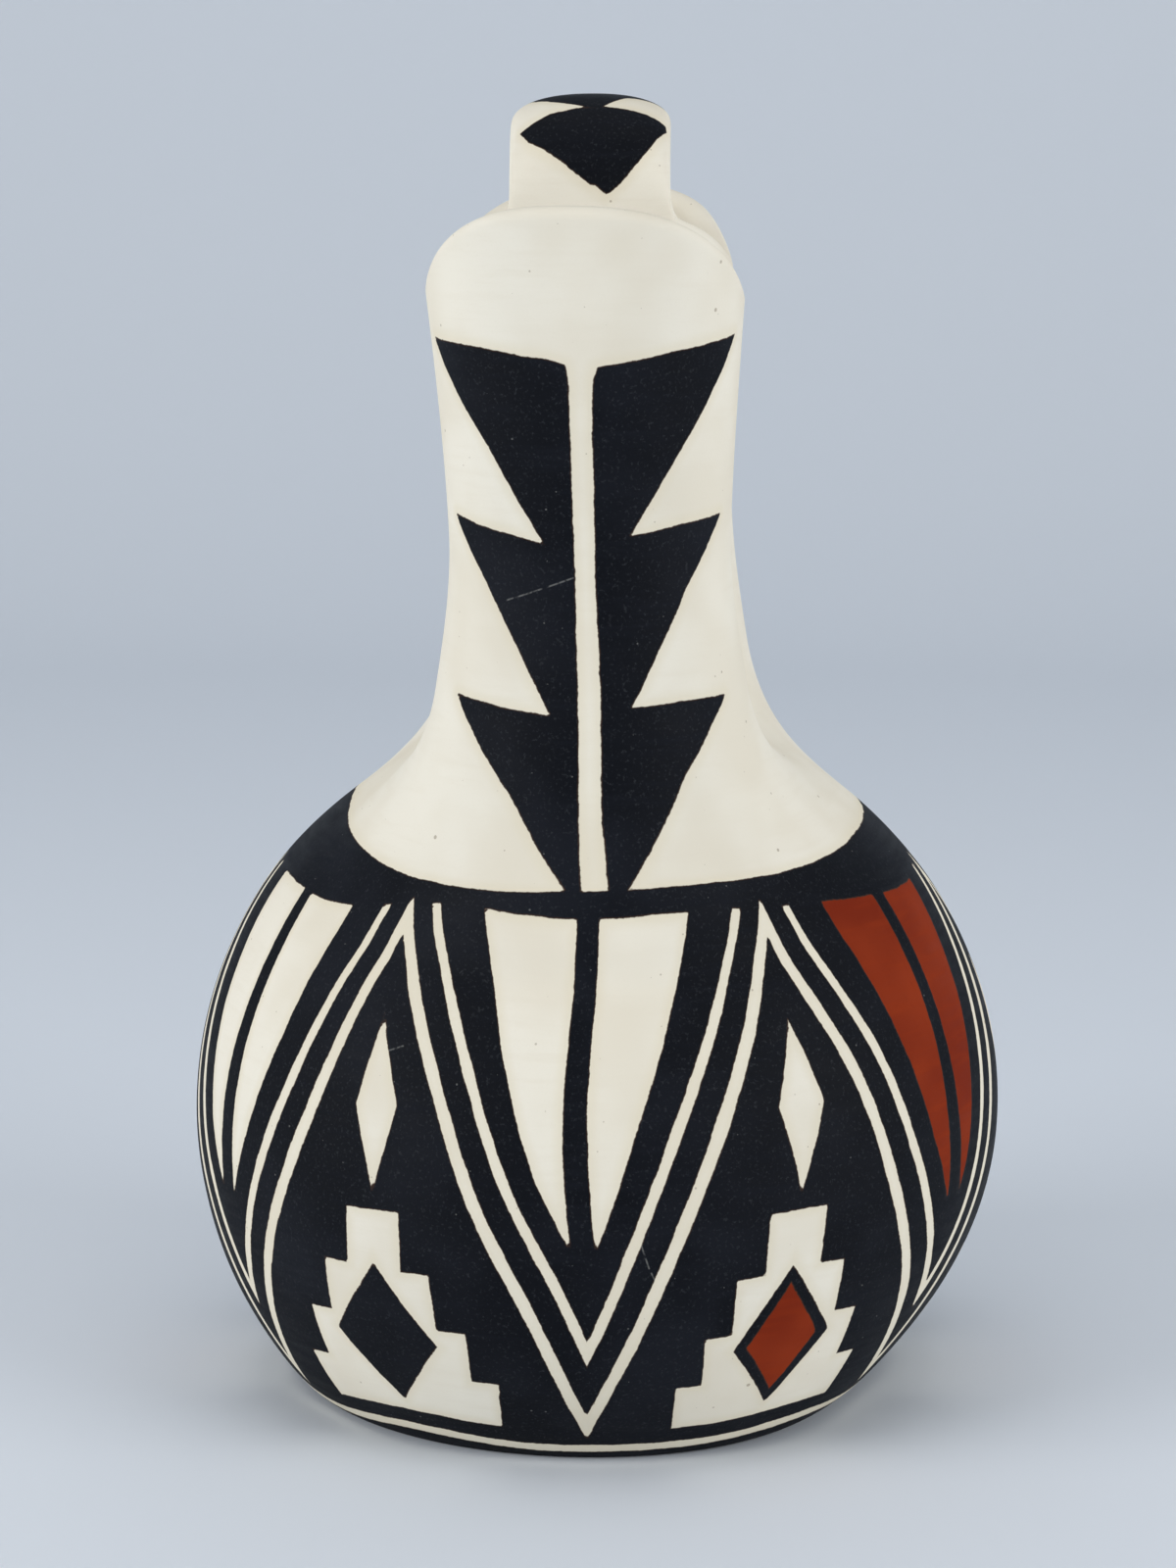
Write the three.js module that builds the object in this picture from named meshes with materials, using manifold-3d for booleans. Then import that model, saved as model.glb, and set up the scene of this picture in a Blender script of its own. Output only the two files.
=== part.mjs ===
// Wedding vase: a ball-shaped jar of fired clay with two spouts joined by one strap handle.
// Millimetres, +Z up. The vase stands on Z = 0 about the origin, with its spouts in a row along Y.
// The walls are hollow throughout, so the belly opens through both spouts.

import * as THREE from "three";
import { mergeVertices } from "three/addons/utils/BufferGeometryUtils.js";
import Module from "manifold-3d";

// Clay
const wall = 5;
const lutingGap = 0.3;

// Body: a ball cut flat to stand on
const bellyRadius = 77;
const footRadius = 57;
const footEdgeHeight = 4;
const footEdgeDraw = 1.2;
const floorThickness = 7;
const baseSeamHeight = 18;
const shoulderSeamDepth = 52;

// Shoulder: the crown of the ball, drawn up into two round openings
const rootRise = 15;
const valleyWidth = 15.6;
const valleyMelt = 10;
const flareMelt = 19.5;
const flareFade = 22;

// Spouts
const spoutLean = 6.7;
const neckWidth = 50.4;
const neckDepth = 47.4;
const neckRise = 20.4;
const rootSpread = 6;
const rootSink = 53;
const mouthWidth = 56.4;
const mouthDepth = 53;
const mouthRise = 46.5;
const flareExponent = 1.4;

// Hand-drawn mouths: how far each has moved sideways, and its rise per millimetre towards +X
const frontMouth = { drift: -0.8, tilt: -0.016 };
const rearMouth = { drift: -3.2, tilt: 0.05 };

// Lip: low at both sides, high at its outer end and under the handle
const outerLipRise = 14.4;
const innerLipRise = 14;
const lipFullness = 2.55;
const lipSoftness = 0.08;
const seatRounding = 0.5;
const seatFade = THREE.MathUtils.degToRad(15);

// Strap handle
const strapWidth = 29.4;
const strapThickness = 11.5;
const strapFootWidth = 33;
const strapRise = 18.7;
const strapArchExponent = 2.4;
const strapEdgeExponent = 2.3;
const frontFootDrift = -0.5;
const rearFootDrift = -1.9;
const strapRoot = 5;
const strapSeatShare = 0.25;
const strapSpreadShare = 0.45;

// Step for measuring a slope, and the distance within which corners are one point
const nudge = 1e-3;

// Facets
const ballSides = 60;
const ballSteps = 10;
const edgeSteps = 3;
const floorSteps = 3;
const ringSides = 40;
const cornerSide = 14;
const saddleSpacing = 1.3;
const cornerTurn = 0.5;
const drawingSteps = 8;
const flareSteps = 9;
const spoutSteps = 8;
const lipSteps = 4;
const strapSides = 24;
const strapSteps = 18;

// Heights that follow from the sizes above
const bellyCentre = Math.sqrt(bellyRadius ** 2 - footRadius ** 2);
const bellyTop = bellyCentre + bellyRadius;
const shoulderSeam = bellyTop - shoulderSeamDepth;
const rootHeight = bellyTop + rootRise;
const neckHeight = rootHeight + neckRise;
const dipHeight = neckHeight + mouthRise;
const leanSlope = Math.tan(THREE.MathUtils.degToRad(spoutLean));

const clay = new THREE.MeshStandardMaterial({ color: 0xe8e4d4, roughness: 0.8, metalness: 0 });
const slip = new THREE.MeshStandardMaterial({ color: 0x161a21, roughness: 0.7, metalness: 0 });

// Radius of the ball, less an inset, at a height
function ballRadiusAt(height, inset) {
  return Math.sqrt((bellyRadius - inset) ** 2 - (height - bellyCentre) ** 2);
}

// A closed solid from triangles given as corner points, facing outwards
function solidFromCorners(corners) {
  const loose = new THREE.BufferGeometry();
  loose.setAttribute("position", new THREE.Float32BufferAttribute(corners.flatMap((p) => [p.x, p.y, p.z]), 3));
  const geometry = mergeVertices(loose, nudge);
  const index = Array.from(geometry.index.array);
  const kept = [];
  for (let i = 0; i < index.length; i += 3) {
    const [a, b, c] = index.slice(i, i + 3);
    if (a !== b && b !== c && c !== a) kept.push(a, b, c);
  }
  const at = (i) => new THREE.Vector3().fromBufferAttribute(geometry.attributes.position, i);
  let volume = 0;
  for (let i = 0; i < kept.length; i += 3) {
    volume += at(kept[i]).dot(at(kept[i + 1]).cross(at(kept[i + 2])));
  }
  geometry.setIndex(volume < 0 ? kept.reverse() : kept);
  return geometry;
}

// Triangles between neighbouring rows of points, each cell cut along its shorter diagonal.
// A closed row's last point joins its first
function skinCorners(rows, rowClosed) {
  const corners = [];
  for (let r = 0; r + 1 < rows.length; r += 1) {
    const [lower, upper] = [rows[r], rows[r + 1]];
    const cells = rowClosed ? lower.length : lower.length - 1;
    for (let cell = 0; cell < cells; cell += 1) {
      const next = (cell + 1) % lower.length;
      const [a, b, c, d] = [lower[cell], lower[next], upper[next], upper[cell]];
      if (a.distanceTo(c) <= b.distanceTo(d)) {
        corners.push(a, b, c, a, c, d);
      } else {
        corners.push(a, b, d, b, c, d);
      }
    }
  }
  return corners;
}

// Point on the cubic that leaves start along startTangent and lands on end along endTangent
function easedPoint(start, startTangent, end, endTangent, t) {
  return new THREE.Vector3()
    .addScaledVector(start, 2 * t ** 3 - 3 * t ** 2 + 1)
    .addScaledVector(startTangent, t ** 3 - 2 * t ** 2 + t)
    .addScaledVector(end, 3 * t ** 2 - 2 * t ** 3)
    .addScaledVector(endTangent, t ** 3 - t ** 2);
}

// Evenly spaced shares from 0 to 1
function shares(steps) {
  return Array.from({ length: steps + 1 }, (_, i) => i / steps);
}

// Base: the round floor and the first turn of wall, pressed out in one piece
function makeBase() {
  const seam = baseSeamHeight - lutingGap / 2;
  const edge = shares(edgeSteps).map((t) => {
    const height = footEdgeHeight * t ** 2;
    return new THREE.Vector2(ballRadiusAt(height, 0) - footEdgeDraw * (1 - t) ** 2, height);
  });
  const side = shares(floorSteps).slice(1).map((t) => {
    const height = THREE.MathUtils.lerp(footEdgeHeight, seam, t);
    return new THREE.Vector2(ballRadiusAt(height, 0), height);
  });
  const inside = shares(floorSteps).map((t) => {
    const height = THREE.MathUtils.lerp(seam, floorThickness, t);
    return new THREE.Vector2(ballRadiusAt(height, wall), height);
  });
  const under = new THREE.Vector2(0, 0);
  const floor = new THREE.Vector2(0, floorThickness);
  return new THREE.LatheGeometry([under, ...edge, ...side, ...inside, floor], ballSides).rotateX(Math.PI / 2);
}

// Belly wall: the widest turn of the ball, open at both ends
function makeBellyWall() {
  const low = baseSeamHeight + lutingGap / 2;
  const high = shoulderSeam - lutingGap / 2;
  const heights = shares(ballSteps).map((t) => THREE.MathUtils.lerp(low, high, t));
  const outer = heights.map((height) => new THREE.Vector2(ballRadiusAt(height, 0), height));
  const inner = heights.map((height) => new THREE.Vector2(ballRadiusAt(height, wall), height)).reverse();
  return new THREE.LatheGeometry([...outer, ...inner, outer[0]], ballSides).rotateX(Math.PI / 2);
}

// Half the width and half the depth of a spout at a height, and its distance from the middle of the vase
function spoutSection(height) {
  const above = Math.max(0, height - neckHeight) / mouthRise;
  const opening = above ** flareExponent;
  const spreadBelow = (depth) => rootSpread * THREE.MathUtils.smoothstep(depth, 0, rootSink);
  const spread = spreadBelow(neckHeight - height);
  const rootHalfDepth = neckDepth / 2 + spreadBelow(neckRise);
  return {
    halfWidth: neckWidth / 2 + (mouthWidth - neckWidth) / 2 * opening + spread,
    halfDepth: neckDepth / 2 + (mouthDepth - neckDepth) / 2 * opening + spread,
    offset: valleyWidth / 2 + rootHalfDepth + leanSlope * (height - rootHeight),
  };
}

// How much of a mouth's drift and tilt a height has: none at the root, all at the mouth's lowest
function mouthShare(height) {
  return (Math.max(0, height - rootHeight) / (dipHeight - rootHeight)) ** 2;
}

// Point on the front spout: angle 0 faces outwards and half a turn faces the other spout
function spoutPoint(angle, height, inset, mouth) {
  const { halfWidth, halfDepth, offset } = spoutSection(height);
  const across = (halfWidth - inset) * Math.sin(angle);
  const x = mouth.drift * mouthShare(height) + across;
  const y = -offset - (halfDepth - inset) * Math.cos(angle);
  return new THREE.Vector3(x, y, height + mouth.tilt * mouthShare(height) * across);
}

// The rear mouth as it is made, facing front, before its half turn
function turned(mouth) {
  return { drift: -mouth.drift, tilt: -mouth.tilt };
}

const ringAngles = Array.from({ length: ringSides }, (_, i) => (2 * Math.PI * i) / ringSides);

// The lesser of two distances, rounded off where they come within a reach of each other
function melted(first, second, reach) {
  if (reach === 0) return Math.min(first, second);
  const share = Math.max(reach - Math.abs(first - second), 0) / reach;
  return Math.min(first, second) - (reach * share ** 2) / 4;
}

// How far a point lies outside the skin of the shoulder, where ball and spouts melt together.
// The melting fades out above the seam, so that the shoulder ends as a plain ball
function outsideShoulder(point, inset) {
  const ball = Math.hypot(point.x, point.y, point.z - bellyCentre) - (bellyRadius - inset);
  const { halfWidth, halfDepth, offset } = spoutSection(point.z);
  const spout = (y) => (Math.hypot(point.x / (halfWidth - inset), y / (halfDepth - inset)) - 1) * (halfDepth - inset);
  const spouts = melted(spout(point.y + offset), spout(point.y - offset), valleyMelt);
  const fade = THREE.MathUtils.smoothstep(point.z - shoulderSeam, 0, flareFade);
  return melted(ball, spouts, flareMelt * fade);
}

// Direction and rate in which that distance grows. It lies in the middle plane for a point there
function slopeAt(point, inset) {
  const along = (axis) => {
    const ahead = point.clone().addScaledVector(axis, nudge);
    const behind = point.clone().addScaledVector(axis, -nudge);
    return (outsideShoulder(ahead, inset) - outsideShoulder(behind, inset)) / (2 * nudge);
  };
  const sideways = point.y === 0 ? 0 : along(new THREE.Vector3(0, 1, 0));
  return new THREE.Vector3(along(new THREE.Vector3(1, 0, 0)), sideways, along(new THREE.Vector3(0, 0, 1)));
}

// Draws a point on to the skin of the shoulder by short steps along its slope
function drawnToShoulder(start, inset) {
  const point = start.clone();
  for (let step = 0; step < drawingSteps; step += 1) {
    const slope = slopeAt(point, inset);
    point.addScaledVector(slope, -outsideShoulder(point, inset) / slope.lengthSq());
  }
  return point;
}

// Shoulder: the top of the ball with its two openings. Flare lines run from each spout's root either
// out to the rim of the belly wall or in to the saddle between the spouts
function makeShoulder() {
  const seamTop = shoulderSeam + lutingGap / 2;
  const cornerAngle = ringAngles[cornerSide];
  const rootEdge = rootHeight - lutingGap / 2;

  // How far round a flare line starts, as a share of the way from the seam's corner to the saddle
  function shareToSaddle(angle) {
    const turn = angle > Math.PI ? 2 * Math.PI - angle : angle;
    return (turn - cornerAngle) / (Math.PI - cornerAngle);
  }

  // Where a flare line lands: on the seam below the spout, or on the middle plane between the spouts
  function landing(angle, inset) {
    const sideways = angle > Math.PI ? -1 : 1;
    const toSaddle = shareToSaddle(angle);
    if (toSaddle <= 0) {
      const seamRadius = ballRadiusAt(seamTop, inset);
      const bearing = (Math.PI / 2) * (1 + toSaddle * (Math.PI / cornerAngle - 1));
      const reach = toSaddle === 0 ? 0 : -seamRadius * Math.cos(bearing);
      return new THREE.Vector3(sideways * seamRadius * Math.sin(bearing), reach, seamTop);
    }
    const lowest = Math.acos((seamTop - bellyCentre) / (bellyRadius - inset));
    const tilt = lowest * (1 - toSaddle) ** saddleSpacing;
    const guide = new THREE.Vector3(Math.sin(tilt), 0, Math.cos(tilt)).multiplyScalar(bellyRadius - inset);
    guide.x *= sideways;
    guide.z += bellyCentre;
    return drawnToShoulder(guide, inset);
  }

  // One flare line of the front half, from root to landing
  function flareLine(angle, inset) {
    const root = spoutPoint(angle, rootEdge, inset, frontMouth);
    const end = landing(angle, inset);
    const reach = end.distanceTo(root);
    const down = spoutPoint(angle, rootEdge - 1, inset, frontMouth).sub(root).setLength(reach);
    const out = end.clone().sub(root).projectOnPlane(slopeAt(end, inset).normalize());
    out.y += reach * THREE.MathUtils.smoothstep(shareToSaddle(angle), -cornerTurn, cornerTurn);
    out.setLength(reach);
    return shares(flareSteps).map((t) => {
      if (t === 0) return root;
      if (t === 1) return end;
      return drawnToShoulder(easedPoint(root, down, end, out, t), inset);
    });
  }

  const outerLines = ringAngles.map((angle) => flareLine(angle, 0));
  const innerLines = ringAngles.map((angle) => flareLine(angle, wall));
  const row = (lines, step) => lines.map((line) => line[step]);
  const outerRows = shares(flareSteps).map((_, step) => row(outerLines, step));
  const innerRows = shares(flareSteps).map((_, step) => row(innerLines, step));

  const rootRing = skinCorners([innerRows[0], outerRows[0]], true);
  const outerSkin = skinCorners(outerRows, true);
  const innerSkin = skinCorners(innerRows.slice().reverse(), true);
  const fromCorner = (ring) => [...ring.slice(-cornerSide), ...ring.slice(0, cornerSide + 1)];
  const seamRing = skinCorners([fromCorner(outerRows[flareSteps]), fromCorner(innerRows[flareSteps])], false);

  const frontHalf = [...rootRing, ...outerSkin, ...seamRing, ...innerSkin];
  const rearHalf = frontHalf.map((p) => new THREE.Vector3(-p.x, -p.y, p.z));
  return solidFromCorners([...frontHalf, ...rearHalf]);
}

// Height of the lip round a spout
function lipHeight(angle) {
  const rise = Math.cos(angle) > 0 ? outerLipRise : innerLipRise;
  const fullness = 1 - Math.abs(Math.sin(angle)) ** lipFullness;
  const power = 1 / lipFullness;
  const lowest = lipSoftness ** power;
  const share = ((fullness + lipSoftness) ** power - lowest) / ((1 + lipSoftness) ** power - lowest);
  return dipHeight + rise * share;
}

// How far the lip's edge is rounded: half the wall where it is free, almost square under the strap
function lipRoundness(angle) {
  const footHalf = Math.asin(strapFootWidth / mouthWidth);
  const fromFoot = Math.abs(angle - Math.PI) - footHalf;
  const free = THREE.MathUtils.smoothstep(fromFoot, 0, seatFade);
  return THREE.MathUtils.lerp(seatRounding, wall / 2, free);
}

// Spout: wall up, over the lip and down inside, closed by the face that meets the shoulder
function makeSpout(mouth) {
  const rootEdge = rootHeight + lutingGap / 2;
  const wallRow = (share, inset) => ringAngles.map((angle) => {
    const top = lipHeight(angle) - lipRoundness(angle);
    return spoutPoint(angle, THREE.MathUtils.lerp(rootEdge, top, share), inset, mouth);
  });
  const lipRow = (share) => ringAngles.map((angle) => {
    const roundness = lipRoundness(angle);
    const height = lipHeight(angle) - roundness + roundness * Math.sin(Math.PI * share);
    return spoutPoint(angle, height, (wall * (1 - Math.cos(Math.PI * share))) / 2, mouth);
  });
  const outer = shares(spoutSteps).map((share) => wallRow(share, 0));
  const lip = shares(lipSteps + 1).slice(1, -1).map((share) => lipRow(share));
  const inner = shares(spoutSteps).map((share) => wallRow(1 - share, wall));
  return solidFromCorners(skinCorners([...outer, ...lip, ...inner, outer[0]], true));
}

// A spout with its bore filled in, grown all round, that shapes the strap's feet
function makeSpoutPlug(growth, mouth) {
  const rows = [];
  for (const share of shares(spoutSteps)) {
    rows.push(ringAngles.map((angle) => {
      const top = lipHeight(angle) - lipRoundness(angle) + growth;
      return spoutPoint(angle, THREE.MathUtils.lerp(rootHeight, top, share), -growth, mouth);
    }));
  }
  for (const share of shares(lipSteps + 1).slice(1)) {
    rows.push(ringAngles.map((angle) => {
      const roundness = lipRoundness(angle);
      const height = lipHeight(angle) + growth - roundness + roundness * Math.sin(Math.PI * share);
      const across = (1 - Math.cos(Math.PI * share)) / 2;
      return spoutPoint(angle, height, THREE.MathUtils.lerp(-growth, wall + growth, across), mouth);
    }));
  }
  const axisAt = (height) => ringAngles.map(() => (
    new THREE.Vector3(mouth.drift * mouthShare(height), -spoutSection(height).offset, height)
  ));
  rows.unshift(axisAt(rootHeight));
  rows.push(axisAt(dipHeight));
  return solidFromCorners(skinCorners(rows, true));
}

// Strap: a crowned band that arches from lip to lip. Its feet spread, thin down to the wall
// and bend to follow the round of the lip that they stand on
function makeStrap() {
  const footHeight = lipHeight(Math.PI) - strapRoot;
  const { halfWidth, halfDepth, offset } = spoutSection(lipHeight(Math.PI));
  const lipHalfWidth = halfWidth - wall / 2;
  const lipHalfDepth = halfDepth - wall / 2;
  const span = offset - lipHalfDepth;
  const rise = strapRoot + strapRise - strapThickness / 2;
  const signedPower = (value, power) => Math.sign(value) * Math.abs(value) ** power;

  const lipDrift = (mouth) => mouth.drift * mouthShare(lipHeight(Math.PI));
  const centre = (turn) => new THREE.Vector3(
    THREE.MathUtils.lerp(frontFootDrift, rearFootDrift, turn / Math.PI),
    -span * signedPower(Math.cos(turn), 2 / strapArchExponent),
    footHeight + rise * signedPower(Math.sin(turn), 2 / strapArchExponent),
  );
  const rows = shares(strapSteps).map((share) => {
    const turn = Math.PI * share;
    const middle = centre(turn);
    const run = centre(Math.min(turn + nudge, Math.PI)).sub(centre(Math.max(turn - nudge, 0)));
    const out = new THREE.Vector3(0, -run.z, run.y).normalize();
    const atFoot = 1 - THREE.MathUtils.smoothstep(Math.sin(turn), strapSeatShare, 1);
    const spread = 1 - THREE.MathUtils.smoothstep(Math.sin(turn), 0, strapSpreadShare);
    const width = THREE.MathUtils.lerp(strapWidth, strapFootWidth, spread ** 2);
    const thickness = THREE.MathUtils.lerp(strapThickness, wall, atFoot);
    const lipMiddle = THREE.MathUtils.lerp(lipDrift(frontMouth), lipDrift(rearMouth), share);
    return shares(strapSides).slice(0, -1).map((sideShare) => {
      const side = 2 * Math.PI * sideShare;
      const x = (width / 2) * signedPower(Math.cos(side), 2 / strapEdgeExponent);
      const depth = (thickness / 2) * signedPower(Math.sin(side), 2 / strapEdgeExponent);
      const point = middle.clone().addScaledVector(out, depth);
      point.x = middle.x + x;
      const bend = lipHalfDepth * (1 - Math.sqrt(1 - ((point.x - lipMiddle) / lipHalfWidth) ** 2));
      point.y -= Math.sign(Math.cos(turn)) * bend * atFoot;
      return point;
    });
  });
  const capRow = (row) => {
    const sum = row.reduce((total, p) => total.add(p), new THREE.Vector3());
    return row.map(() => sum.clone().divideScalar(row.length));
  };
  return solidFromCorners(skinCorners([capRow(rows[0]), ...rows, capRow(rows[strapSteps])], true));
}

// Booleans on closed solids
const wasm = await Module();
wasm.setup();

function toManifold(geometry) {
  const bare = geometry.clone();
  bare.deleteAttribute("normal");
  bare.deleteAttribute("uv");
  const merged = mergeVertices(bare, nudge);
  const vertProperties = new Float32Array(merged.attributes.position.array);
  const triVerts = new Uint32Array(merged.index.array);
  return new wasm.Manifold(new wasm.Mesh({ numProp: 3, vertProperties, triVerts }));
}

function fromManifold(solid) {
  const { vertProperties, triVerts } = solid.getMesh();
  const geometry = new THREE.BufferGeometry();
  geometry.setAttribute("position", new THREE.BufferAttribute(vertProperties, 3));
  geometry.setIndex(new THREE.BufferAttribute(triVerts, 1));
  return geometry;
}

function makeHandle() {
  const frontPlug = makeSpoutPlug(lutingGap, frontMouth);
  const rearPlug = makeSpoutPlug(lutingGap, turned(rearMouth)).rotateZ(Math.PI);
  const strap = toManifold(makeStrap());
  return fromManifold(strap.subtract(toManifold(frontPlug)).subtract(toManifold(rearPlug)));
}

const vase = new THREE.Group();

function addPiece(name, geometry, material) {
  const mesh = new THREE.Mesh(geometry, material);
  mesh.name = name;
  vase.add(mesh);
  return mesh;
}

addPiece("base", makeBase(), slip);
addPiece("belly_wall", makeBellyWall(), slip);
addPiece("shoulder", makeShoulder(), clay);
addPiece("spout_front", makeSpout(frontMouth), clay);
addPiece("spout_rear", makeSpout(turned(rearMouth)), clay).rotation.z = Math.PI;
addPiece("strap_handle", makeHandle(), clay);

export default vase;
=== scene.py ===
# Wedding vase of matte painted clay, standing on a pale sweep in soft studio light.
# Sizes are in millimetres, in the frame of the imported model, and become metres when a mesh is made.
import math

import bpy
import numpy as np
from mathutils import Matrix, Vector


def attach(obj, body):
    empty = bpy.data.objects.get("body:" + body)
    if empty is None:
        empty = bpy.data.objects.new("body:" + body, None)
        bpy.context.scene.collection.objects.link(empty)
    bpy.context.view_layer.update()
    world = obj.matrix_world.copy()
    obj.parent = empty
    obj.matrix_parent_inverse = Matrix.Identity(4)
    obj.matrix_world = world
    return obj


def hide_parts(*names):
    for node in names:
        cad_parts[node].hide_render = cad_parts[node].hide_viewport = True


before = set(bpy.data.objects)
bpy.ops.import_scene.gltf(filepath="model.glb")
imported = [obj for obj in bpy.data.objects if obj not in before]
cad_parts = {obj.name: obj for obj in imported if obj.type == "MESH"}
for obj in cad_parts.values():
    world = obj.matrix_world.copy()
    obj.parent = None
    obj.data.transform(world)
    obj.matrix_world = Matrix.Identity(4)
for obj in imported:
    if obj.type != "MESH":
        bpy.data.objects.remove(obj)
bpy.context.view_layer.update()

MM = 0.001

# Body and shoulder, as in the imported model
WALL = 5.0
BELLY_RADIUS = 77.0
FOOT_RADIUS = 57.0
FOOT_EDGE_HEIGHT = 4.0
FOOT_EDGE_DRAW = 1.2
FOOT_DISH = 0.8
DISH_SHARES = (0.55, 0.93)
FLOOR_THICKNESS = 7.0
FLOOR_CORNER = {"width": 6.0, "rise": 3.0}
UNDERSIDE = 1.5
BARE_RIM = 3.0
BASE_SEAM = 18.0
SHOULDER_SEAM_DEPTH = 52.0
ROOT_RISE = 15.0
VALLEY_WIDTH = 15.6
VALLEY_MELT = 10.0
FLARE_MELT = 19.5
FLARE_FADE = 22.0

# Spouts and lips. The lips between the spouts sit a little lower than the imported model's, out of sight
# behind the front lip, and the strap reaches down as much further.
LEAN_SLOPE = math.tan(math.radians(6.7))
NECK_WIDTH = 50.4
NECK_DEPTH = 47.4
NECK_RISE = 20.4
ROOT_SPREAD = 6.0
ROOT_SINK = 53.0
MOUTH_WIDTH = 56.4
MOUTH_DEPTH = 53.0
MOUTH_RISE = 46.5
FLARE_EXPONENT = 1.4
FRONT_MOUTH = {"drift": -0.8, "tilt": -0.016}
REAR_MOUTH = {"drift": -3.2, "tilt": 0.05}
OUTER_LIP_RISE = 14.4
INNER_LIP_RISE = 10.2
LIP_FULLNESS = 2.55
LIP_SOFTNESS = 0.08
SLIPPED_MOUTH = 12.0
SLIP_RUN_OUT = 4

# Strap handle
STRAP_WIDTH = 29.4
STRAP_THICKNESS = 11.5
STRAP_FOOT_WIDTH = 33.0
STRAP_FOOT_THICKNESS = WALL - 1.4
STRAP_RISE = 22.5
STRAP_ARCH = 2.4
STRAP_EDGE = 2.3
STRAP_ROOT = 5.0
STRAP_SEAT = 0.25
STRAP_SPREAD = 0.45
STRAP_MELT = 1.5
STRAP_MELT_DEPTH = 6.0
DIVE_RATE = 1.2
DIVE_SOFTNESS = 0.6
FRONT_FOOT_DRIFT = -0.5
REAR_FOOT_DRIFT = -1.9

# Heights that follow
BELLY_CENTRE = math.sqrt(BELLY_RADIUS ** 2 - FOOT_RADIUS ** 2)
BELLY_TOP = BELLY_CENTRE + BELLY_RADIUS
SHOULDER_SEAM = BELLY_TOP - SHOULDER_SEAM_DEPTH
ROOT_HEIGHT = BELLY_TOP + ROOT_RISE
NECK_HEIGHT = ROOT_HEIGHT + NECK_RISE
DIP_HEIGHT = NECK_HEIGHT + MOUTH_RISE

# Mesh fineness: columns round the ball and a spout, sides round the strap, rows along each stretch and
# how they crowd. A key's shift keeps whole and half nudges away from where rounding turns over.
BALL_COLUMNS = 720
RING_COLUMNS = 360
CORNER_COLUMN = 126
UNDER_ROWS = 13
UNDER_SPACING = 0.8
FOOT_EDGE_ROWS = 12
BASE_ROWS = 28
INNER_BASE_ROWS = 8
FLOOR_CORNER_ROWS = 6
FLOOR_ROWS = 9
CENTRE_SHARE = 0.001
BELLY_ROWS = 90
INNER_BELLY_ROWS = 24
FLARE_ROWS = 108
INNER_FLARE_ROWS = 14
SPOUT_ROWS = 124
INNER_SPOUT_ROWS = 85
INNER_SPOUT_SPACING = 1.3
LIP_ROWS = 19
STRAP_ROWS = 220
STRAP_SIDES = 160
SADDLE_SPACING = 1.3
CORNER_TURN = 0.5
SHARP_ANGLE = 55
DRAWING_STEPS = 8
NUDGE = 1e-3
KEY_SHIFT = 0.25


def smoothstep(value, low, high):
    share = np.clip((value - low) / (high - low), 0.0, 1.0)
    return share * share * (3.0 - 2.0 * share)


def lerp(first, second, share):
    return first + (second - first) * share


def columns(*parts):
    """Points from their x, y and z, each a number or an array."""
    return np.stack(np.broadcast_arrays(*[np.asarray(part, float) for part in parts]), axis=-1)


def unit(vectors):
    return vectors / np.linalg.norm(vectors, axis=-1, keepdims=True)


# Ball

def ball_radius_at(height, inset):
    return np.sqrt((BELLY_RADIUS - inset) ** 2 - (height - BELLY_CENTRE) ** 2)


def ball_heights(low, high, rows, inset):
    """Heights of rows that lie evenly along the ball's curve."""
    radius = BELLY_RADIUS - inset
    first = math.asin((low - BELLY_CENTRE) / radius)
    last = math.asin((high - BELLY_CENTRE) / radius)
    return BELLY_CENTRE + radius * np.sin(np.linspace(first, last, rows + 1))


def turned_rows(radii, heights, count):
    """Rows of points from a profile turned round the vase's axis."""
    bearing = np.linspace(0.0, 2.0 * math.pi, count, endpoint=False)
    radii = np.asarray(radii, float)[:, None]
    heights = np.asarray(heights, float)[:, None]
    return columns(radii * np.sin(bearing), -radii * np.cos(bearing), heights)


# Spouts

def spread_below(depth):
    return ROOT_SPREAD * smoothstep(depth, 0.0, ROOT_SINK)


def spout_section(height):
    """Half width, half depth and distance from the vase's axis of a spout at a height."""
    opening = (np.maximum(0.0, height - NECK_HEIGHT) / MOUTH_RISE) ** FLARE_EXPONENT
    spread = spread_below(NECK_HEIGHT - height)
    half_width = NECK_WIDTH / 2 + (MOUTH_WIDTH - NECK_WIDTH) / 2 * opening + spread
    half_depth = NECK_DEPTH / 2 + (MOUTH_DEPTH - NECK_DEPTH) / 2 * opening + spread
    root_half_depth = NECK_DEPTH / 2 + spread_below(NECK_RISE)
    offset = VALLEY_WIDTH / 2 + root_half_depth + LEAN_SLOPE * (height - ROOT_HEIGHT)
    return half_width, half_depth, offset


def mouth_share(height):
    return (np.maximum(0.0, height - ROOT_HEIGHT) / (DIP_HEIGHT - ROOT_HEIGHT)) ** 2


def spout_point(angle, height, inset, mouth):
    """Point on the front spout: angle 0 faces outwards and half a turn faces the other spout."""
    half_width, half_depth, offset = spout_section(height)
    across = (half_width - inset) * np.sin(angle)
    x = mouth["drift"] * mouth_share(height) + across
    y = -offset - (half_depth - inset) * np.cos(angle)
    return columns(x, y, height + mouth["tilt"] * mouth_share(height) * across)


def turned(mouth):
    """The rear mouth as it is made, facing front, before its half turn."""
    return {name: -value for name, value in mouth.items()}


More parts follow.
